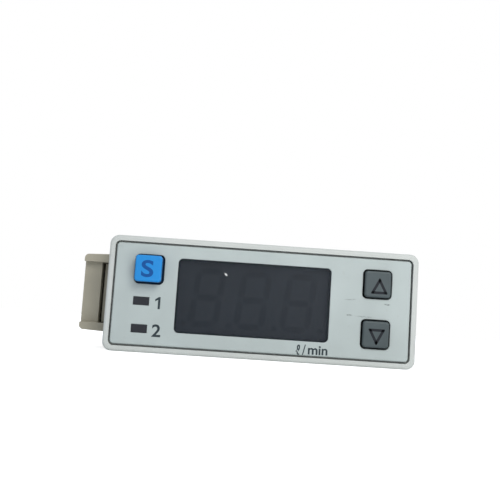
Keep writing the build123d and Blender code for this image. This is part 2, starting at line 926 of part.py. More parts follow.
def adapter(front):
    """A panel mount adapter on the right side of the case, its panel face at y = front."""
    back = front + adapter_length
    bridge = back - adapter_bridge
    inner_x = side_x + fit_gap
    z_span = (-adapter_opening, adapter_opening)
    body = adapter_block(front)
    body -= block((inner_x, web_x), (front, bridge), z_span)
    body -= block((web_x, adapter_reach), (front, front + web_recess), z_span)
    body -= block((inner_x, rail_x + fit_gap), (front, back), z_span)
    body += adapter_tongue(front)
    hook_low = rail_inner_z + rail_stem + fit_gap
    hook_x = rail_x - rail_lip - fit_gap
    hook = block((inner_x, hook_x), (front, back), (hook_low, adapter_half_height - adapter_wall / 2))
    body += hook
    body += mirror(hook, about=Plane.XY)
    for index in range(grip_count):
        y = front + web_recess + grip_pitch * (index + 1)
        body -= block((web_outer_x - grip_depth, adapter_reach), (y, y + grip_pitch / 2), z_span)
    return body


def build_all():
    """Every node's solid or solids, by name."""
    nodes = {
        "housing": housing(),
        "front_plate": front_plate(),
        "display_window": display_window(),
        "display_case": display_case(),
        "display_segments": display_segments(),
        "front_board": front_board(),
        "main_board": main_board(),
        "board_link": board_link(),
        "link_pins": link_pins(),
        "processor_chip": processor_chip(),
        "filter_capacitors": filter_capacitors(),
        "power_inductor": power_inductor(),
        "output_drivers": output_drivers(),
        "voltage_regulator": voltage_regulator(),
        "terminal_header": terminal_header(),
        "header_pins": header_pins(),
        "terminal_plug": terminal_plug(),
        "clamp_cages": [clamp_cage(x) for x in pole_places()],
        "terminal_screws": [terminal_screw(x) for x in pole_places()],
        "rear_cover": rear_cover(),
        "left_adapter": mirror(adapter(left_adapter_y), about=Plane.YZ),
        "right_adapter": adapter(right_adapter_y),
    }
    for name, (x, z, proud) in KEYS.items():
        nodes[f"{name}_key"] = key(x, z, proud)
        nodes[f"{name}_switch"] = switch_body(x, z)
        nodes[f"{name}_plunger"] = switch_plunger(x, z)
    for name, z in INDICATORS.items():
        nodes[f"indicator_lens_{name}"] = indicator_lens(z)
        nodes[f"indicator_lamp_{name}"] = indicator_lamp(z)
    return nodes


def write_steps(nodes):
    """Write each node to parts/NODE.step."""
    os.makedirs("parts", exist_ok=True)
    for name, shape in nodes.items():
        pieces = shape if isinstance(shape, list) else [shape]
        solids = [solid for piece in pieces for solid in piece.solids()]
        whole = solids[0] if len(solids) == 1 else Compound(children=solids)
        whole.label = name
        export_step(whole, f"parts/{name}.step")


write_steps(build_all())
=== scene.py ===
"""A slim panel-mount display unit of a flow switch: its finishes, markings, floor, lamps and camera."""

import logging
from dataclasses import dataclass, field
from enum import Enum
from typing import Union

import bmesh
import bpy
from mathutils import Matrix, Vector


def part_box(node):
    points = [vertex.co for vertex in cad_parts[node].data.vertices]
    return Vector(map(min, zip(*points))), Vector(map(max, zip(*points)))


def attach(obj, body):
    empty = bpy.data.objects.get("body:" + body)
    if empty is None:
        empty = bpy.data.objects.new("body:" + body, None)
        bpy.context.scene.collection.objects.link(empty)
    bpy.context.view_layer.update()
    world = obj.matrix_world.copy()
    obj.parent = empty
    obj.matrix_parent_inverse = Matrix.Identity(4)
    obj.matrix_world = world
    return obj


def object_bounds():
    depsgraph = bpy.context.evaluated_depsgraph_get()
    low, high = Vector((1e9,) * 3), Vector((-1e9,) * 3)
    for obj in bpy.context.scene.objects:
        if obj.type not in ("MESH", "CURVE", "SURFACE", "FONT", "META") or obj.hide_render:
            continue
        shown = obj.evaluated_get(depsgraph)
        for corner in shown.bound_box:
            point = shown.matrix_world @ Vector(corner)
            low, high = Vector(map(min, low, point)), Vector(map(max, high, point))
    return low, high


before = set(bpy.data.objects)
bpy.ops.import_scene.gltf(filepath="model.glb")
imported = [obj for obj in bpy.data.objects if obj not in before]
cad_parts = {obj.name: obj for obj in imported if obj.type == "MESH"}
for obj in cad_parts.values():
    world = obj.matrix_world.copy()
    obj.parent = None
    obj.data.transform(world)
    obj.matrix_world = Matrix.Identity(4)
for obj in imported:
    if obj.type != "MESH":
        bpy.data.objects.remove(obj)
CAD_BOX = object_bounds()
LOG = logging.getLogger("flow_switch")

MM = 0.001
PHOTO_SIZE = 500
FULL_TINT = 255
SRGB_KNEE = 0.04045
SRGB_SLOPE = 12.92
SRGB_OFFSET = 0.055
SRGB_GAMMA = 2.4
WHITE = (1.0, 1.0, 1.0, 1.0)

Tint = tuple[int, int, int]
Color = tuple[float, float, float, float]
Triple = tuple[float, float, float]
Span = tuple[float, float]


class Body(Enum):
    """The moving bodies that new pieces ride on."""

    CASE = "case"
    SET_BUTTON = "set_button"
    UP_BUTTON = "up_button"
    DOWN_BUTTON = "down_button"
    WIRING_PLUG = "wiring_plug"


class Slot(Enum):
    """The names of the record's material slots."""

    BLACK = "black_plastic"
    BLUE = "blue_plastic"
    TERMINAL = "terminal_plastic"


class Detail(Enum):
    """How finely a noise is broken up."""

    NONE = 0.0
    SOFT = 1.0
    PLAIN = 2.0
    FINE = 3.0
    RAGGED = 4.0


def decode(channel: float) -> float:
    """Turn one channel of a screen colour into its linear value.

    Args:
        channel: The channel, from 0 to 1.

    Returns:
        The linear value.
    """
    if channel <= SRGB_KNEE:
        return channel / SRGB_SLOPE
    return ((channel + SRGB_OFFSET) / (1 + SRGB_OFFSET)) ** SRGB_GAMMA


def linear(tint: Tint, level: float = 1.0) -> Color:
    """Turn a screen colour into the linear colour that a shader takes.

    Args:
        tint: Red, green and blue from 0 to 255.
        level: A factor on the linear colour.

    Returns:
        Linear red, green, blue and an alpha of 1.
    """
    red, green, blue = (decode(value / FULL_TINT) * level for value in tint)
    return (red, green, blue, 1.0)


def even(size: float) -> Triple:
    """The same size along each axis."""
    return (size, size, size)


def middle(*amounts: float) -> float:
    """What signals from 0 to 1 add on average, when they are scaled by these amounts."""
    return sum(amounts) / 2


class Signal:
    """A node's output. Arithmetic on it adds Math nodes."""

    def __init__(self, graph: "Graph", socket: bpy.types.NodeSocket) -> None:
        """Wrap one output socket of a graph."""
        self.graph = graph
        self.socket = socket

    def _math(self, operation: str, left: "Value", right: "Value") -> "Signal":
        """Add one Math node and return its output."""
        return self.graph.add("ShaderNodeMath", {"operation": operation}, {0: left, 1: right})

    def __add__(self, other: "Value") -> "Signal":
        """Add a number or another output."""
        return self._math("ADD", self, other)

    def __radd__(self, other: "Value") -> "Signal":
        """Add this output to a number."""
        return self._math("ADD", other, self)

    def __sub__(self, other: "Value") -> "Signal":
        """Subtract a number or another output."""
        return self._math("SUBTRACT", self, other)

    def __rsub__(self, other: "Value") -> "Signal":
        """Subtract this output from a number."""
        return self._math("SUBTRACT", other, self)

    def __mul__(self, other: "Value") -> "Signal":
        """Multiply by a number or another output."""
        return self._math("MULTIPLY", self, other)

    def __rmul__(self, other: "Value") -> "Signal":
        """Multiply a number by this output."""
        return self._math("MULTIPLY", other, self)

    def larger(self, other: "Value") -> "Signal":
        """Take the larger of this output and another value."""
        return self._math("MAXIMUM", self, other)


Value = Union[float, tuple, Signal]


class Graph:
    """The nodes of one material or world."""

    edge_samples: int = 4
    edge_bend: Span = (0.02, 0.3)
    spot_core: float = 0.2

    def __init__(self, tree: bpy.types.NodeTree) -> None:
        """Start an empty graph in a node tree."""
        self.tree = tree
        tree.nodes.clear()

    def add(self, kind: str, settings: dict | None = None, values: dict | None = None,
            output: int | str = 0) -> Signal:
        """Add one node.

        Args:
            kind: The node's type.
            settings: The node's own settings, set first. "stops" gives a ramp's places and colours.
            values: Numbers, colours or outputs for its input sockets, by name or number.
            output: Which output to return.

        Returns:
            The chosen output.
        """
        node = self.tree.nodes.new(kind)
        for name, value in (settings or {}).items():
            if name == "stops":
                for index, (place, color) in enumerate(value):
                    stops = node.color_ramp.elements
                    stop = stops[index] if index < len(stops) else stops.new(place)
                    stop.position = place
                    stop.color = color
            else:
                setattr(node, name, value)
        for name, value in (values or {}).items():
            if isinstance(value, Signal):
                self.tree.links.new(value.socket, node.inputs[name])
            else:
                node.inputs[name].default_value = value
        return Signal(self, node.outputs[output] if len(node.outputs) else None)

    def place(self, size: Triple, center: Triple = (0, 0, 0), turn: Triple = (0, 0, 0)) -> Signal:
        """Object coordinates about a centre, in units of a size.

        Args:
            size: The unit along each axis, in millimetres.
            center: The centre, in millimetres.
            turn: The turn about each axis, in radians.

        Returns:
            The coordinates.
        """
        spot = self.add("ShaderNodeTexCoord", output="Object")
        values = {
            "Vector": spot,
            "Location": [value * MM for value in center],
            "Rotation": turn,
            "Scale": [value * MM for value in size],
        }
        return self.add("ShaderNodeMapping", {"vector_type": "TEXTURE"}, values)

    def noise(self, size: Triple, detail: Detail = Detail.PLAIN, turn: Triple = (0, 0, 0)) -> Signal:
        """Soft noise whose grains are about that size in millimetres, from 0 to 1."""
        values = {"Vector": self.place(size, turn=turn), "Scale": 1.0, "Detail": detail.value}
        return self.add("ShaderNodeTexNoise", None, values)

    def between(self, value: Signal, low: float, high: float) -> Signal:
        """Rise smoothly from one level to another. With low above high it falls.

        Args:
            value: What is measured.
            low: Where the result is 0.
            high: Where the result is 1.

        Returns:
            The result, from 0 to 1.
        """
        settings = {"interpolation_type": "SMOOTHSTEP"}
        start, end = (0.0, 1.0) if low < high else (1.0, 0.0)
        values = {0: value, 1: min(low, high), 2: max(low, high), 3: start, 4: end}
        return self.add("ShaderNodeMapRange", settings, values)

    def mix(self, factor: Value, low: Value, high: Value) -> Signal:
        """Mix two colours."""
        settings = {"data_type": "RGBA", "clamp_factor": True}
        return self.add("ShaderNodeMix", settings, {0: factor, 6: low, 7: high}, 2)

    def bump(self, height: Signal, depth: float) -> Signal:
        """A normal from a height, its full depth in millimetres."""
        return self.add("ShaderNodeBump", None, {"Distance": depth * MM, "Height": height})

    def edges(self, width: float) -> Signal:
        """Mask the sharp edges.

        Args:
            width: About how wide the mask is, in millimetres.

        Returns:
            1 on the sharpest edges and 0 away from them.
        """
        rounded = self.add("ShaderNodeBevel", {"samples": self.edge_samples}, {"Radius": width * MM})
        normals = {0: rounded, 1: self.add("ShaderNodeNewGeometry", output="Normal")}
        alike = self.add("ShaderNodeVectorMath", {"operation": "DOT_PRODUCT"}, normals, "Value")
        return self.between(1 - alike, *self.edge_bend)

    def spot(self, center: Triple, size: Triple, turn: float = 0.0) -> Signal:
        """Mask a spot that fades out from its centre.

        Args:
            center: The spot's centre, in millimetres.
            size: Its reach along each axis, in millimetres.
            turn: Its turn about Y, in radians.

        Returns:
            1 at the centre and 0 at the reach.
        """
        spread = self.place(size, center, (0, turn, 0))
        distance = self.add("ShaderNodeVectorMath", {"operation": "LENGTH"}, {0: spread}, "Value")
        return self.between(distance, 1.0, self.spot_core)

    def surface(self, values: dict) -> None:
        """Add the main shader with its sockets and link it to the material's output."""
        shader = self.add("ShaderNodeBsdfPrincipled", None, values)
        self.add("ShaderNodeOutputMaterial", None, {"Surface": shader})


@dataclass(frozen=True)
class Finish:
    """A finish that any number of pieces share."""

    name: str
    tint: Tint
    roughness: float

    def material(self) -> bpy.types.Material:
        """Find the finish's material, or make it when it is first asked for.

        Returns:
            The material.
        """
        material = bpy.data.materials.get(self.name)
        if material is None:
            material = bpy.data.materials.new(self.name)
            material.use_nodes = True
            self.shade(Graph(material.node_tree))
        return material

    def shade(self, graph: Graph) -> None:
        """Add the finish's nodes to a graph."""
        raise NotImplementedError


@dataclass(frozen=True)
class Moulded(Finish):
    """Moulded plastic: fine spark-eroded grain, cloudy tone, edges lightened partly as wear and partly
    as painted highlight, and a little dust.
    """

    grain: float = 0.22
    relief: float = 0.006
    mottle: float = 0.05
    edge_width: float = 0.12
    edge_wear_and_highlight: float = 0.25
    dust: float = 0.10
    gloss: float = 0.35
    cloud_size: float = 9.0
    cloud_stops: Triple = (0.3, 0.5, 0.7)
    edge_lift: int = 40
    speck_size: float = 1.1
    speck_levels: Span = (0.6, 0.78)
    dust_tint: Tint = (150, 146, 136)
    rub_size: float = 4.0
    grain_dulling: float = 0.12
    rub_dulling: float = 0.14

    def tone(self, graph: Graph) -> Signal:
        """Add the nodes of the plastic's colour, with its clouds, edges and dust.

        Args:
            graph: The material's graph.

        Returns:
            The colour.
        """
        cloud = graph.noise(even(self.cloud_size))
        dim, bright = linear(self.tint, 1 - self.mottle), linear(self.tint, 1 + self.mottle)
        stops = tuple(zip(self.cloud_stops, (dim, linear(self.tint), bright)))
        color = graph.add("ShaderNodeValToRGB", {"stops": stops}, {0: cloud})
        # Sharp edges are lightened: partly handling wear, partly a painted highlight.
        pale = tuple(min(FULL_TINT, value + self.edge_lift) for value in self.tint)
        color = graph.mix(graph.edges(self.edge_width) * self.edge_wear_and_highlight, color, linear(pale))
        specks = graph.between(graph.noise(even(self.speck_size), Detail.RAGGED), *self.speck_levels)
        return graph.mix(specks * self.dust, color, linear(self.dust_tint))

    def shade(self, graph: Graph) -> None:
        """Add the plastic's nodes.

        Args:
            graph: The material's graph.
        """
        grain = graph.noise(even(self.grain), Detail.FINE)
        rubbed = graph.noise(even(self.rub_size), Detail.FINE)
        smoothest = self.roughness - middle(self.grain_dulling, self.rub_dulling)
        graph.surface({
            "Base Color": self.tone(graph),
            "Roughness": grain * self.grain_dulling + rubbed * self.rub_dulling + smoothest,
            "Normal": graph.bump(grain, self.relief),
            "Specular IOR Level": self.gloss,
        })


@dataclass(frozen=True)
class SideShaded(Moulded):
    """Moulded plastic with painted shade on its sides, darker the further back they lie from the front
    face.
    """

    # Painted shade: the sides darken with depth behind the front face, where shade falls in the gaps.
    front: float = 0.0
    shade_start: float = 0.25
    shade_full: float = 0.9
    shade_amount: float = 0.7
    shade_tint: Tint = (10, 16, 24)

    def tone(self, graph: Graph) -> Signal:
        """Add the nodes of the plastic's colour, with painted shade on its sides.

        Args:
            graph: The material's graph.

        Returns:
            The colour.
        """
        color = super().tone(graph)
        # Painted shade: the deeper a side wall lies behind the front face, the darker its colour.
        depth = graph.add("ShaderNodeSeparateXYZ", None, {0: graph.place(even(1.0))}, "Y")
        mask = graph.between(depth, self.front + self.shade_start, self.front + self.shade_full)
        return graph.mix(mask * self.shade_amount, color, linear(self.shade_tint))


@dataclass(frozen=True)
class Scuff:
    """A rubbed mark on the face plate.

    Its middle, length and height are in millimetres, its turn in radians, and its depth from 0 to 1.
    """

    x: float
    z: float
    length: float
    height: float
    turn: float
    depth: float


@dataclass(frozen=True)
class ScuffedPlate(SideShaded):
    """The face plate's plastic, with the rubbed marks about the arrow keys."""

    scuffs: tuple[Scuff, ...] = ()
    scuff_reach: float = 1.0
    scuff_tint: Tint = (92, 100, 100)
    ragged_size: Triple = (0.5, 0.5, 0.22)
    ragged_levels: Span = (0.35, 0.65)

    def tone(self, graph: Graph) -> Signal:
        """Add the nodes of the plate's colour, with its rubbed marks.

        Args:
            graph: The material's graph.

        Returns:
            The colour.
        """
        color = super().tone(graph)
        ragged = graph.between(graph.noise(self.ragged_size, Detail.RAGGED), *self.ragged_levels)
        for scuff in self.scuffs:
            size = (scuff.length / 2, self.scuff_reach, scuff.height / 2)
            mask = graph.spot((scuff.x, self.front, scuff.z), size, scuff.turn)
            color = graph.mix(mask * ragged * scuff.depth, color, linear(self.scuff_tint))
        return color


@dataclass(frozen=True)
class Crumb:
    """A pale crumb on the window: its centre and reach in millimetres, turn in radians, and colour."""

    center: Triple
    size: Triple
    turn: float
    tint: Tint


@dataclass(frozen=True)
class Smoked(Finish):
    """Smoked clear plastic, dark and satin, that shows a little of what is behind it."""

    opacity: float = 0.7
    crumb: Crumb | None = None
    haze_size: float = 14.0
    haze_levels: Span = (0.8, 1.2)
    wipe_size: Triple = (6.0, 6.0, 0.5)
    wipe_turn: Triple = (0.0, 0.35, 0.0)
    grain: float = 0.15
    relief: float = 0.001
    dust_size: float = 0.35
    dust_levels: Span = (0.74, 0.82)
    dust_tint: Tint = (150, 155, 158)
    dust_cover: float = 0.35
    dust_opacity: float = 0.1
    wipe_dulling: float = 0.12
    grain_dulling: float = 0.06
    gloss: float = 0.45

    def shade(self, graph: Graph) -> None:
        """Add the smoked plastic's nodes.

        Args:
            graph: The material's graph.
        """
        haze = graph.noise(even(self.haze_size), Detail.SOFT)
        wiped = graph.noise(self.wipe_size, Detail.FINE, self.wipe_turn)
        grain = graph.noise(even(self.grain))
        dim, bright = (linear(self.tint, level) for level in self.haze_levels)
        dust = graph.between(graph.noise(even(self.dust_size)), *self.dust_levels)
        color = graph.mix(dust * self.dust_cover, graph.mix(haze, dim, bright), linear(self.dust_tint))
        if self.crumb:
            mask = graph.spot(self.crumb.center, self.crumb.size, self.crumb.turn)
            color = graph.mix(mask, color, linear(self.crumb.tint))
            opacity = mask.larger(self.opacity)
        else:
            opacity = dust * self.dust_opacity + self.opacity
        smoothest = self.roughness - middle(self.wipe_dulling, self.grain_dulling)
        graph.surface({
            "Base Color": color,
            "Roughness": wiped * self.wipe_dulling + grain * self.grain_dulling + smoothest,
            "Alpha": opacity,
            "Normal": graph.bump(grain, self.relief),
            "Specular IOR Level": self.gloss,
        })


@dataclass(frozen=True)
class SolderMask(Finish):
    """A circuit board: green solder mask over copper runs, with bare laminate at its edges."""

    run_length: float = 9.0
    run_width: float = 0.9
    run_levels: Span = (0.5, 0.54)
    mask_levels: Span = (0.8, 1.5)
    edge_width: float = 0.2
    edge_bare: float = 0.5
    laminate_tint: Tint = (150, 150, 96)
    weave_size: float = 0.3
    weave_height: float = 0.3
    weave_dulling: float = 0.15
    weave_shine: float = 0.07
    relief: float = 0.03
    gloss: float = 0.5

    def shade(self, graph: Graph) -> None:
        """Add the board's nodes.

        Args:
            graph: The material's graph.
        """
        long, short = self.run_length, self.run_width
        along = graph.between(graph.noise((long, long, short), Detail.NONE), *self.run_levels)
        across = graph.between(graph.noise((short, long, long), Detail.NONE), *self.run_levels)
        copper = along.larger(across)
        dim, bright = (linear(self.tint, level) for level in self.mask_levels)
        color = graph.mix(copper, dim, bright)
        bare = graph.edges(self.edge_width) * self.edge_bare
        weave = graph.noise(even(self.weave_size))
        graph.surface({
            "Base Color": graph.mix(bare, color, linear(self.laminate_tint)),
            "Roughness": weave * self.weave_dulling + (self.roughness - self.weave_shine),
            "Normal": graph.bump(copper + weave * self.weave_height, self.relief),
            "Specular IOR Level": self.gloss,
        })


@dataclass(frozen=True)
class Metal(Finish):
    """Plated or drawn metal, with fine tool lines and dull patches."""

    lines: Triple = (1.2, 0.05, 1.2)
    patch_size: float = 1.6
    patch_levels: Span = (0.82, 1.05)
    edge_width: float = 0.08
    edge_shine: float = 0.5
    edge_tint: Tint = (236, 234, 228)
    line_dulling: float = 0.16
    patch_dulling: float = 0.2
    relief: float = 0.004

    def shade(self, graph: Graph) -> None:
        """Add the metal's nodes.

        Args:
            graph: The material's graph.
        """
        tool = graph.noise(self.lines, Detail.FINE)
        dull = graph.noise(even(self.patch_size), Detail.FINE)
        dim, bright = (linear(self.tint, level) for level in self.patch_levels)
        rubbed = graph.edges(self.edge_width) * self.edge_shine
        smoothest = self.roughness - middle(self.line_dulling, self.patch_dulling)
        graph.surface({
            "Base Color": graph.mix(rubbed, graph.mix(dull, dim, bright), linear(self.edge_tint)),
            "Metallic": 1.0,
            "Roughness": tool * self.line_dulling + dull * self.patch_dulling + smoothest,
            "Normal": graph.bump(tool, self.relief),
        })


@dataclass(frozen=True)
class Printed(Finish):
    """Printed ink, a little worn through in places."""

    under: Tint = (187, 199, 200)
    wear: float = 0.2
    pore_size: float = 0.12
    pore_levels: Span = (0.6, 0.75)
    patch_size: float = 0.9
    patch_levels: Span = (0.85, 1.2)
    pore_dulling: float = 0.15
    relief: float = 0.003
    gloss: float = 0.3

    def shade(self, graph: Graph) -> None:
        """Add the ink's nodes.

        Args:
            graph: The material's graph.
        """
        pores = graph.between(graph.noise(even(self.pore_size), Detail.FINE), *self.pore_levels)
        patch = graph.noise(even(self.patch_size))
        dim, bright = (linear(self.tint, level) for level in self.patch_levels)
        color = graph.mix(patch, dim, bright)
        graph.surface({
            "Base Color": graph.mix(pores * self.wear, color, linear(self.under)),
            "Roughness": pores * self.pore_dulling + self.roughness,
            "Normal": graph.bump(pores, self.relief),
            "Specular IOR Level": self.gloss,
        })


PLATE_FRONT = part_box("front_plate")[0][1] / MM
SET_KEY_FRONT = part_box("set_key")[0][1] / MM
ARROW_KEY_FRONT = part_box("up_key")[0][1] / MM
SET_KEY_TINT = (34, 146, 226)
ARROW_KEY_TINT = (78, 89, 92)
TERMINAL_TINT = (44, 122, 76)
SCUFFS = (
    Scuff(17.6, 1.65, 3.4, 0.4, -0.07, 0.5),
    Scuff(24.9, 1.1, 1.7, 0.5, 0.1, 1.0),
    Scuff(17.3, -1.45, 1.9, 0.5, 0.05, 0.9),
    Scuff(20.4, -1.6, 5.4, 0.4, 0.03, 0.55),
    Scuff(25.6, 4.5, 0.5, 5.0, 0.15, 0.12),
)
WINDOW_CRUMB = Crumb((-7.58, -3.0, 4.95), (0.62, 1.0, 0.3), 0.75, (244, 246, 244))

CASE = Moulded("case_grey", (210, 215, 212), 0.5, mottle=0.03)
# The plate's key-hole walls get painted shade behind its front face.
PLATE = ScuffedPlate("plate_grey", (191, 202, 201), 0.46, grain=0.16, relief=0.003,
                     front=PLATE_FRONT, shade_start=0.1, shade_full=0.5, scuffs=SCUFFS)
WINDOW = Smoked("smoked_window", (22, 33, 46), 0.40, opacity=0.45, crumb=WINDOW_CRUMB)
LENS = Smoked("smoked_lens", (34, 37, 45), 0.32, opacity=0.92)
# The keys' side walls get painted shade, navy on the blue key.
BLUE = SideShaded("set_blue", SET_KEY_TINT, 0.42, mottle=0.08, edge_wear_and_highlight=0.35, dust=0.05,
              front=SET_KEY_FRONT, shade_amount=0.85, shade_tint=(3, 24, 62))
KEY_GREY = SideShaded("key_grey", ARROW_KEY_TINT, 0.45, mottle=0.12, edge_wear_and_highlight=0.3,
                  front=ARROW_KEY_FRONT, shade_start=0.2, shade_full=0.6)
BLACK = Moulded("moulded_black", (38, 39, 41), 0.5, dust=0.2)
MODULE = Moulded("module_grey", (98, 106, 112), 0.55)
SEGMENT = Moulded("segment_milky", (79, 85, 89), 0.35, grain=0.4)
BOARD = SolderMask("solder_mask", (24, 92, 52), 0.35)
TIN = Metal("tin_plate", (206, 203, 192), 0.34)
CAN = Metal("drawn_can", (202, 205, 208), 0.3, lines=(0.06, 0.06, 2.0))
STEEL = Metal("zinc_screw", (190, 193, 194), 0.38)
GREEN = Moulded("terminal_green", TERMINAL_TINT, 0.42)
CLIP = Moulded("clip_beige", (178, 173, 156), 0.5, mottle=0.06)
LEGEND_INK = Printed("legend_ink", (44, 56, 62), 0.5)
BLUE_INK = Printed("set_mark_ink", (4, 82, 156), 0.45, under=SET_KEY_TINT)
ARROW_INK = Printed("arrow_ink", (22, 27, 35), 0.5, under=ARROW_KEY_TINT)
NUMBER_INK = Printed("terminal_ink", (226, 228, 222), 0.5, under=TERMINAL_TINT)


class Marking:
    """Thin printed marks that stand a hair proud of the face that they are printed on."""

    proud: float = 0.01
    sunk: float = 0.02
    half_depth: float = 0.5
    curve_steps: int = 8
    join_distance: float = 1e-5
    corner_cut: float = 0.55
    corner_steps: int = 5
    corner_profile: float = 0.5
    figure_one: tuple[Span, ...] = (
        (0.6, 0), (1.05, 0), (1.05, 2.5), (0.72, 2.5), (0, 1.98), (0, 1.55), (0.6, 1.92),
    )

    @classmethod
    def settle(cls, shape: bmesh.types.BMesh, x_span: Span, up_span: Span, face: Matrix) -> None:
        """Fit a flat shape to its place on a face.

        Args:
            shape: The shape, flat in its own x and y, with its thickness along z.
            x_span: Its left and right ends on the face, in millimetres.
            up_span: Its lower and upper ends on the face, in millimetres.
            face: Turns x, y and outwards on the face into the object's frame, in millimetres.
        """
        low = Vector([min(vert.co[axis] for vert in shape.verts) for axis in range(3)])
        high = Vector([max(vert.co[axis] for vert in shape.verts) for axis in range(3)])
        spans = (x_span, up_span, (-cls.sunk, cls.proud))
        scale = [(span[1] - span[0]) / length for span, length in zip(spans, high - low)]
        bmesh.ops.translate(shape, verts=shape.verts, vec=-low)
        bmesh.ops.scale(shape, verts=shape.verts, vec=Vector(scale))
        bmesh.ops.translate(shape, verts=shape.verts, vec=Vector([span[0] for span in spans]))
        bmesh.ops.transform(shape, matrix=Matrix.Scale(MM, 4) @ face, verts=shape.verts)

    @staticmethod
    def thicken(shape: bmesh.types.BMesh) -> None:
        """Close a flat shape into a solid with a thickness of 1 along z.

        Args:
            shape: The flat shape.
        """
        walls = bmesh.ops.extrude_face_region(shape, geom=list(shape.faces))
        raised = [item for item in walls["geom"] if isinstance(item, bmesh.types.BMVert)]
        bmesh.ops.translate(shape, verts=raised, vec=(0, 0, 1))

    @classmethod
    def letters(cls, text: str, weight: float = 0.0) -> bmesh.types.BMesh:
        """Make the solid shape of a few letters.

        Args:
            text: What it says.
            weight: How much bolder than the plain letters, as a part of their size.

        Returns:
            The shape, with its thickness along z.
        """
        lettering = bpy.data.curves.new("lettering", "FONT")
        lettering.body = text
        lettering.extrude = cls.half_depth
        lettering.offset = weight
        lettering.resolution_u = cls.curve_steps
        holder = bpy.data.objects.new("lettering", lettering)
        mesh = bpy.data.meshes.new_from_object(holder)
        shape = bmesh.new()
        shape.from_mesh(mesh)
        bmesh.ops.remove_doubles(shape, verts=shape.verts, dist=cls.join_distance)
        bpy.data.objects.remove(holder)
        bpy.data.curves.remove(lettering)
        bpy.data.meshes.remove(mesh)
        return shape

    @classmethod
    def sign(cls, text: str, weight: float = 0.0) -> bmesh.types.BMesh:
        """Make the solid shape of a sign, with a flag on a figure 1.

        Args:
            text: What it says.
            weight: How much bolder than the plain letters, as a part of their size.

        Returns:
            The shape, with its thickness along z.
        """
        if text != "1":
            return cls.letters(text, weight)
        shape = bmesh.new()
        shape.faces.new([shape.verts.new((x, y, 0)) for x, y in cls.figure_one])
        cls.thicken(shape)
        bmesh.ops.triangulate(shape, faces=list(shape.faces))
        return shape

    @classmethod
    def arrow(cls, stroke: float, width: float, height: float, points_up: bool) -> bmesh.types.BMesh:
        """Make the outline of a triangle with soft corners.

        Args:
            stroke: The line's width, in millimetres.
            width: The base's length, in millimetres.
            height: The triangle's height, in millimetres.
            points_up: False for an arrow that points down.

        Returns:
            The shape, with its thickness along z.
        """
        shape = bmesh.new()
        tip = height if points_up else -height
        corners = ((0, tip, 0), (-width / 2, 0, 0), (width / 2, 0, 0))
        shape.faces.new([shape.verts.new(corner) for corner in corners])
        bmesh.ops.bevel(shape, geom=list(shape.verts), offset=stroke * cls.corner_cut,
                        offset_type="OFFSET", segments=cls.corner_steps, profile=cls.corner_profile,
                        affect="VERTICES", material=-1)
        inset = bmesh.ops.inset_region(shape, faces=list(shape.faces), thickness=stroke,
                                       use_boundary=True, use_even_offset=True)
        ring = set(inset["faces"])
        inside = [piece for piece in shape.faces if piece not in ring]
        bmesh.ops.delete(shape, geom=inside, context="FACES")
        cls.thicken(shape)
        return shape


def add_piece(name: str, shape: bmesh.types.BMesh, finish: Finish, body: Body) -> None:
    """Make an object of a finished shape, dress it and put it on its body.

    Args:
        name: The piece's name.
        shape: Its shape in the object's frame, in metres, which is freed.
        finish: Its finish.
        body: What it moves with.
    """
    bmesh.ops.recalc_face_normals(shape, faces=shape.faces)
    mesh = bpy.data.meshes.new(name)
    shape.to_mesh(mesh)
    shape.free()
    mesh.materials.append(finish.material())
    piece = bpy.data.objects.new(name, mesh)
    bpy.context.scene.collection.objects.link(piece)
    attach(piece, body.value)
    LOG.info("piece %s rides on %s", name, body.value)


def facing(y: float) -> Matrix:
    """The frame of a face that looks at the viewer, at a depth in millimetres."""
    return Matrix(((1, 0, 0, 0), (0, 0, -1, y), (0, 1, 0, 0), (0, 0, 0, 1)))


@dataclass
class SubAssembly:
    """Pieces that belong together, and the finish of each CAD node among them."""

    finishes: dict[str, Finish] = field(default_factory=dict)

    def dress(self) -> None:
        """Give each CAD node of the sub-assembly its finish."""
        for name, finish in self.finishes.items():
            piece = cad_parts[name]
            if not piece.material_slots:
                piece.data.materials.append(finish.material())
            for holder in piece.material_slots:
                holder.material = finish.material()
            LOG.info("node %s has %s", name, finish.name)

    def build(self) -> None:
        """Make the pieces that the frame doesn't hold."""


@dataclass
class CaseShell(SubAssembly):
    """The moulded case and its rear cover."""

    finishes: dict[str, Finish] = field(default_factory=lambda: {"housing": CASE, "rear_cover": CASE})


@dataclass
class Legend:
    """A printed mark on the face plate and the box that it fills, in millimetres."""

    name: str
    text: str
    x_span: Span
    z_span: Span
    weight: float = 0.0


@dataclass
class FacePanel(SubAssembly):
    """The face plate with its window, lenses and printed legends."""

    finishes: dict[str, Finish] = field(default_factory=lambda: {
        "front_plate": PLATE,
        "display_window": WINDOW,
        "indicator_lens_1": LENS,
        "indicator_lens_2": LENS,
    })
    legends: tuple[Legend, ...] = (
        Legend("number_1", "1", (-21.2, -20.15), (-2.8, -0.4)),
        Legend("number_2", "2", (-21.41, -19.66), (-8.28, -5.80), 0.02),
        Legend("unit_litre", "ℓ", (7.2, 8.0), (-9.94, -7.91), 0.022),
        Legend("unit_slash", "/", (8.45, 9.15), (-9.9, -7.85), 0.008),
        Legend("unit_minute", "min", (9.6, 13.48), (-9.73, -7.95), 0.022),
    )

    def build(self) -> None:
        """Print the legends on the plate."""
        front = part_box("front_plate")[0][1] / MM
        for legend in self.legends:
            shape = Marking.sign(legend.text, legend.weight)
            Marking.settle(shape, legend.x_span, legend.z_span, facing(front))
            add_piece(legend.name, shape, LEGEND_INK, Body.CASE)


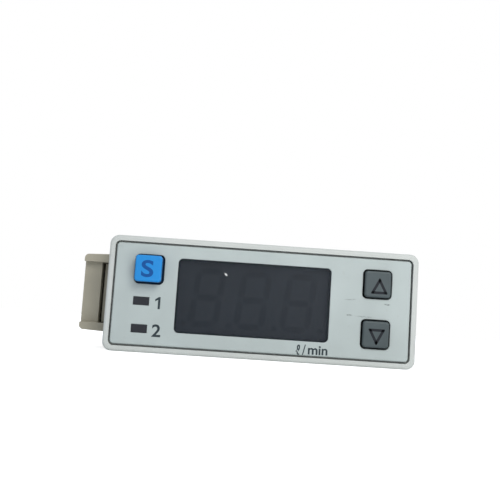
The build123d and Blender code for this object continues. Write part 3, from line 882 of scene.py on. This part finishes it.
@dataclass
class Keypad(SubAssembly):
    """The three keys, their marks and their switches."""

    finishes: dict[str, Finish] = field(default_factory=lambda: {
        "set_key": BLUE,
        "up_key": KEY_GREY,
        "down_key": KEY_GREY,
        "set_switch": BLACK,
        "up_switch": BLACK,
        "down_switch": BLACK,
        "set_plunger": BLACK,
        "up_plunger": BLACK,
        "down_plunger": BLACK,
    })
    stroke: float = 0.49
    set_mark_weight: float = 0.022
    set_mark_x: Span = (-24.1, -21.72)
    set_mark_z: Span = (3.23, 6.59)
    up_mark_x: Span = (21.4, 24.72)
    up_mark_z: Span = (3.05, 6.2)
    down_mark_x: Span = (21.25, 24.55)
    down_mark_z: Span = (-7.02, -3.85)

    def build(self) -> None:
        """Mark the keys."""
        shape = Marking.letters("S", self.set_mark_weight)
        Marking.settle(shape, self.set_mark_x, self.set_mark_z, facing(self.front("set_key")))
        add_piece("set_mark", shape, BLUE_INK, Body.SET_BUTTON)
        self.print_arrow("up_mark", "up_key", Body.UP_BUTTON, self.up_mark_x, self.up_mark_z)
        self.print_arrow("down_mark", "down_key", Body.DOWN_BUTTON, self.down_mark_x, self.down_mark_z)

    def print_arrow(self, name: str, key: str, body: Body, x_span: Span, z_span: Span) -> None:
        """Print one arrow on its key.

        Args:
            name: The mark's name.
            key: The key's node.
            body: The body that the key is on.
            x_span: The mark's left and right ends.
            z_span: The mark's lower and upper ends.
        """
        width = x_span[1] - x_span[0]
        height = z_span[1] - z_span[0]
        shape = Marking.arrow(self.stroke, width, height, body is Body.UP_BUTTON)
        Marking.settle(shape, x_span, z_span, facing(self.front(key)))
        add_piece(name, shape, ARROW_INK, body)

    @staticmethod
    def front(key: str) -> float:
        """How far forward a key's face is, in millimetres."""
        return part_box(key)[0][1] / MM


@dataclass
class DigitModule(SubAssembly):
    """The digit block, its segments and the lamps behind the small lenses."""

    finishes: dict[str, Finish] = field(default_factory=lambda: {
        "display_case": MODULE,
        "display_segments": SEGMENT,
        "indicator_lamp_1": SEGMENT,
        "indicator_lamp_2": SEGMENT,
    })


@dataclass
class Electronics(SubAssembly):
    """The boards and what is soldered to them."""

    finishes: dict[str, Finish] = field(default_factory=lambda: {
        "front_board": BOARD,
        "main_board": BOARD,
        "board_link": BLACK,
        "link_pins": TIN,
        "processor_chip": BLACK,
        "filter_capacitors": CAN,
        "power_inductor": BLACK,
        "output_drivers": BLACK,
        "voltage_regulator": BLACK,
    })


@dataclass
class Wiring(SubAssembly):
    """The terminal header and the plug with its clamps, screws and pole numbers."""

    finishes: dict[str, Finish] = field(default_factory=lambda: {
        "terminal_header": GREEN,
        "header_pins": TIN,
        "terminal_plug": GREEN,
        "clamp_cages": TIN,
        "terminal_screws": STEEL,
    })
    poles: int = 8
    pitch: float = 5.08
    number_height: float = 1.3
    number_width: float = 0.8
    number_inset: float = 0.5
    number_weight: float = 0.01

    def build(self) -> None:
        """Number the poles on the plug's upper face, to be read from the rear."""
        low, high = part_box("terminal_plug")
        screws_low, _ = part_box("terminal_screws")
        top = high[2] / MM
        start = screws_low[1] / MM - self.number_inset - self.number_height
        face = Matrix(((-1, 0, 0, 0), (0, -1, 0, start), (0, 0, 1, top), (0, 0, 0, 1)))
        for index in range(self.poles):
            place = (index - (self.poles - 1) / 2) * self.pitch
            shape = Marking.sign(str(index + 1), self.number_weight)
            x_span = (place - self.number_width / 2, place + self.number_width / 2)
            Marking.settle(shape, x_span, (-self.number_height, 0.0), face)
            add_piece(f"pole_number_{index + 1}", shape, NUMBER_INK, Body.WIRING_PLUG)


@dataclass
class Adapters(SubAssembly):
    """The two panel mount adapters."""

    finishes: dict[str, Finish] = field(default_factory=lambda: {
        "left_adapter": CLIP,
        "right_adapter": CLIP,
    })


@dataclass(frozen=True)
class Lamp:
    """A soft square lamp: its place and side in metres, power in watts, and colour."""

    name: str
    place: Triple
    side: float
    power: float
    tint: Tint


@dataclass
class Studio:
    """The floor, the lamps, the pale surroundings and the camera."""

    floor_size: float = 4.0
    floor_color: Color = (0.82, 0.83, 0.84, 1.0)
    floor_glow: float = 0.75
    lamps: tuple[Lamp, ...] = (
        Lamp("key_lamp", (0.06, -0.165, 0.12), 0.11, 0.19, (255, 252, 247)),
        Lamp("side_lamp", (0.23, -0.32, -0.09), 0.20, 0.26, (255, 250, 244)),
        Lamp("rear_lamp", (-0.25, 0.38, 0.30), 0.30, 0.75, (250, 252, 255)),
    )
    fill_tint: Tint = (242, 247, 255)
    fill_level: float = 0.49
    focal_pixels: float = 707.0
    film_width: float = 36.0
    near_clip: float = 0.005
    camera_place: Triple = (-6.37, -143.69, -4.27)
    camera_right: Triple = (0.9974, -0.0297, 0.0657)
    camera_up: Triple = (-0.0684, -0.1004, 0.9926)
    camera_forward: Triple = (0.0229, 0.9945, 0.1021)

    def build(self) -> None:
        """Make the whole studio."""
        self.lay_floor()
        self.surround()
        for lamp in self.lamps:
            self.hang_lamp(lamp)
        self.set_camera()

    def lay_floor(self) -> None:
        """Lay the floor under the object, pale for the camera and with the object's shadow on it."""
        shape = bmesh.new()
        bmesh.ops.create_grid(shape, x_segments=1, y_segments=1, size=self.floor_size / 2)
        bmesh.ops.translate(shape, verts=shape.verts, vec=(0, 0, CAD_BOX[0][2]))
        mesh = bpy.data.meshes.new("floor")
        shape.to_mesh(mesh)
        shape.free()
        floor = bpy.data.objects.new("floor", mesh)
        bpy.context.scene.collection.objects.link(floor)
        floor.visible_shadow = False
        material = bpy.data.materials.new("floor_paper")
        material.use_nodes = True
        graph = Graph(material.node_tree)
        seen = graph.add("ShaderNodeLightPath", output="Is Camera Ray")
        paper = graph.add("ShaderNodeBsdfDiffuse", None, {"Color": self.floor_color})
        glow = graph.add("ShaderNodeEmission", None, {"Strength": seen * self.floor_glow})
        graph.add("ShaderNodeOutputMaterial", None, {
            "Surface": graph.add("ShaderNodeAddShader", None, {0: paper, 1: glow}),
        })
        mesh.materials.append(material)

    def surround(self) -> None:
        """Light the object evenly from all round, and show white to the camera, metal and glass."""
        world = bpy.data.worlds.new("surroundings")
        world.use_nodes = True
        bpy.context.scene.world = world
        graph = Graph(world.node_tree)
        seen = graph.add("ShaderNodeLightPath", output="Is Camera Ray")
        glossy = graph.add("ShaderNodeLightPath", output="Is Glossy Ray")
        through = graph.add("ShaderNodeLightPath", output="Is Transmission Ray")
        shown = seen.larger(glossy).larger(through)
        color = graph.mix(shown, linear(self.fill_tint, self.fill_level), WHITE)
        light = graph.add("ShaderNodeBackground", None, {"Color": color, "Strength": 1.0})
        graph.add("ShaderNodeOutputWorld", None, {"Surface": light})

    @staticmethod
    def hang_lamp(lamp: Lamp) -> None:
        """Hang a lamp that points at the object.

        Args:
            lamp: The lamp.
        """
        light = bpy.data.lights.new(lamp.name, "AREA")
        light.size = lamp.side
        light.energy = lamp.power
        light.color = linear(lamp.tint)[:3]
        holder = bpy.data.objects.new(lamp.name, light)
        aim = (-Vector(lamp.place)).to_track_quat("-Z", "Y")
        holder.matrix_world = Matrix.Translation(lamp.place) @ aim.to_matrix().to_4x4()
        bpy.context.scene.collection.objects.link(holder)

    def set_camera(self) -> None:
        """Set the camera where the photograph was taken from."""
        camera = bpy.data.cameras.new("camera")
        camera.sensor_width = self.film_width
        camera.lens = self.focal_pixels / PHOTO_SIZE * self.film_width
        camera.clip_start = self.near_clip
        holder = bpy.data.objects.new("camera", camera)
        back = [-value for value in self.camera_forward]
        turn = Matrix((self.camera_right, self.camera_up, back)).transposed()
        holder.matrix_world = Matrix.Translation(Vector(self.camera_place) * MM) @ turn.to_4x4()
        bpy.context.scene.collection.objects.link(holder)
        bpy.context.scene.camera = holder
        bpy.context.scene.view_settings.view_transform = "Standard"


def main() -> None:
    """Dress and complete the flow switch, and set it in its studio."""
    logging.basicConfig(level=logging.INFO, format="%(message)s")
    parts = (CaseShell(), FacePanel(), Keypad(), DigitModule(), Electronics(), Wiring(), Adapters())
    for part in parts:
        part.dress()
        part.build()
    Studio().build()


if __name__ == "__main__":
    main()
